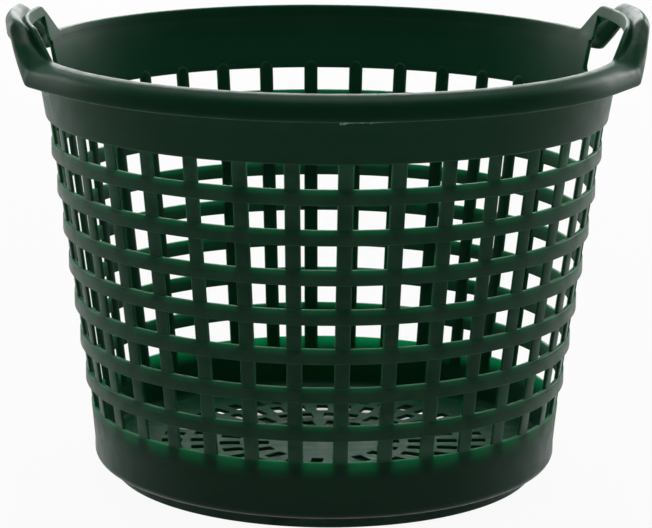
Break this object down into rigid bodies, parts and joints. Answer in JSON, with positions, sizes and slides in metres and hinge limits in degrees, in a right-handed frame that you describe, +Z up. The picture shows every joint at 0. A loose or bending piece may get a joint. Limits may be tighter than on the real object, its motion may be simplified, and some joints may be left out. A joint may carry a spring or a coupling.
{
  "type": "garden basket",
  "caption": "Round tapered lattice basket of dark green moulded plastic, with two raised hand grips on the rim and a slotted floor, for carrying harvest and garden waste.",
  "frame": {"origin": "centre of the foot ring, on the surface the basket stands on", "axes": "+Z up the basket's axis, +X through the middle of the right-hand grip, -Y towards the front"},
  "size_m": [0.4266, 0.4154, 0.3132],
  "materials": {
    "green_plastic": "satin, slightly translucent dark green polyethylene with soft highlights"
  },
  "bodies": {
    "root": {"foot_ring": "green_plastic", "base_band": "green_plastic", "floor_grille": "green_plastic", "hoop_1": "green_plastic", "hoop_2": "green_plastic", "hoop_3": "green_plastic", "hoop_4": "green_plastic", "hoop_5": "green_plastic", "hoop_6": "green_plastic", "hoop_7": "green_plastic", "stave_01": "green_plastic", "stave_02": "green_plastic", "stave_03": "green_plastic", "stave_04": "green_plastic", "stave_05": "green_plastic", "stave_06": "green_plastic", "stave_07": "green_plastic", "stave_08": "green_plastic", "stave_09": "green_plastic", "stave_10": "green_plastic", "stave_11": "green_plastic", "stave_12": "green_plastic", "stave_13": "green_plastic", "stave_14": "green_plastic", "stave_15": "green_plastic", "stave_16": "green_plastic", "stave_17": "green_plastic", "stave_18": "green_plastic", "stave_19": "green_plastic", "stave_20": "green_plastic", "stave_21": "green_plastic", "stave_22": "green_plastic", "stave_23": "green_plastic", "stave_24": "green_plastic", "stave_25": "green_plastic", "stave_26": "green_plastic", "stave_27": "green_plastic", "stave_28": "green_plastic", "stave_29": "green_plastic", "stave_30": "green_plastic", "stave_31": "green_plastic", "stave_32": "green_plastic", "stave_33": "green_plastic", "stave_34": "green_plastic", "upper_band": "green_plastic", "left_handle": "green_plastic", "right_handle": "green_plastic", "front_rim": "green_plastic", "back_rim": "green_plastic"}
  },
  "joints": []
}
